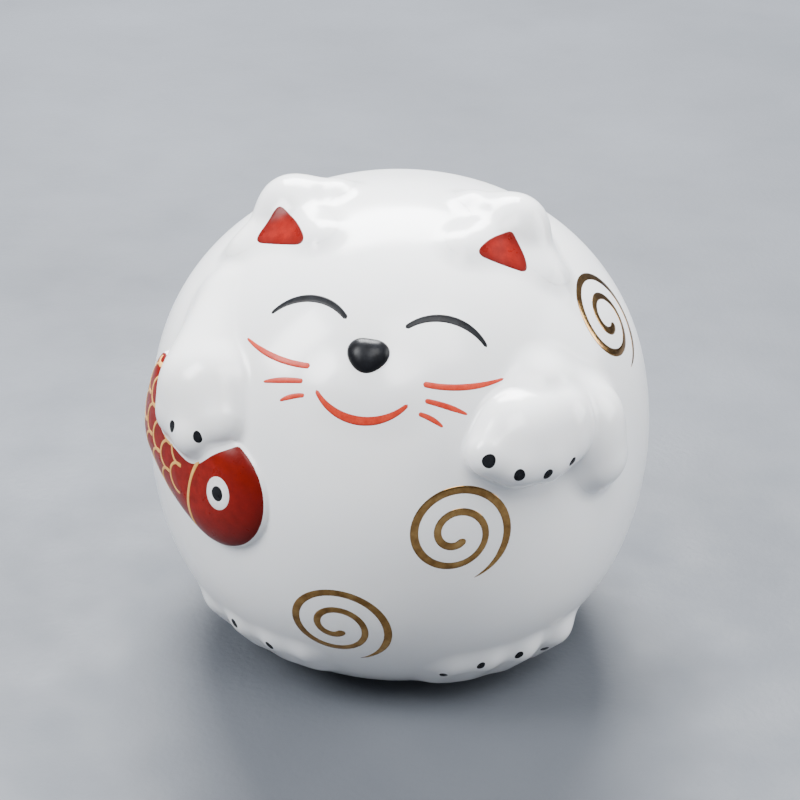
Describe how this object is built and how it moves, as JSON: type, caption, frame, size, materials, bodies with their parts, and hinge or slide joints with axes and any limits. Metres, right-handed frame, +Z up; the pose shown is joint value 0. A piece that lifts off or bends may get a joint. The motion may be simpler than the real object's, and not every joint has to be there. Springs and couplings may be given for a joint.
{
  "type": "beckoning cat figurine",
  "caption": "Round glazed porcelain cat with one raised paw, a red fish under the other arm and gold spirals; stands on a bare foot ring.",
  "frame": {"origin": "middle of the foot ring's resting face, on the surface the cat stands on", "axes": "+Z up; the cat looks toward -Y; +X is the cat's own left, the side of the raised paw"},
  "size_m": [0.09, 0.0941, 0.0872],
  "materials": {
    "porcelain": "clear gloss glaze over white porcelain",
    "bare_biscuit": "unglazed, ground flat, slightly rough",
    "red_enamel": "glossy fired-on red",
    "coral_enamel": "thin brushed coral red",
    "black_enamel": "glossy fired-on black",
    "white_enamel": "glossy fired-on white",
    "ochre_enamel": "thin fired-on ochre with some gold",
    "gold_lustre": "bright fired gold lustre, brushed on"
  },
  "bodies": {
    "root": {"arm_right": "porcelain", "body_shell": "porcelain", "ear_left": "porcelain", "ear_lining_left": "red_enamel", "ear_lining_right": "red_enamel", "ear_right": "porcelain", "eye_left": "black_enamel", "eye_right": "black_enamel", "fish_body": "red_enamel", "fish_eye_white": "white_enamel", "fish_gill_band": "ochre_enamel", "fish_pupil": "black_enamel", "fish_scales": "ochre_enamel", "foot_left": "porcelain", "foot_left_marks": "black_enamel", "foot_right": "porcelain", "foot_right_marks": "black_enamel", "foot_ring": "bare_biscuit", "forearm_left": "porcelain", "mouth": "coral_enamel", "nose": "black_enamel", "paw_left": "porcelain", "paw_left_marks": "black_enamel", "paw_right_marks": "black_enamel", "spiral_back_left": "gold_lustre", "spiral_back_low": "gold_lustre", "spiral_back_right": "gold_lustre", "spiral_belly": "gold_lustre", "spiral_front": "gold_lustre", "spiral_shoulder": "gold_lustre", "tail": "porcelain", "whiskers_left": "coral_enamel", "whiskers_right": "coral_enamel"}
  },
  "joints": []
}
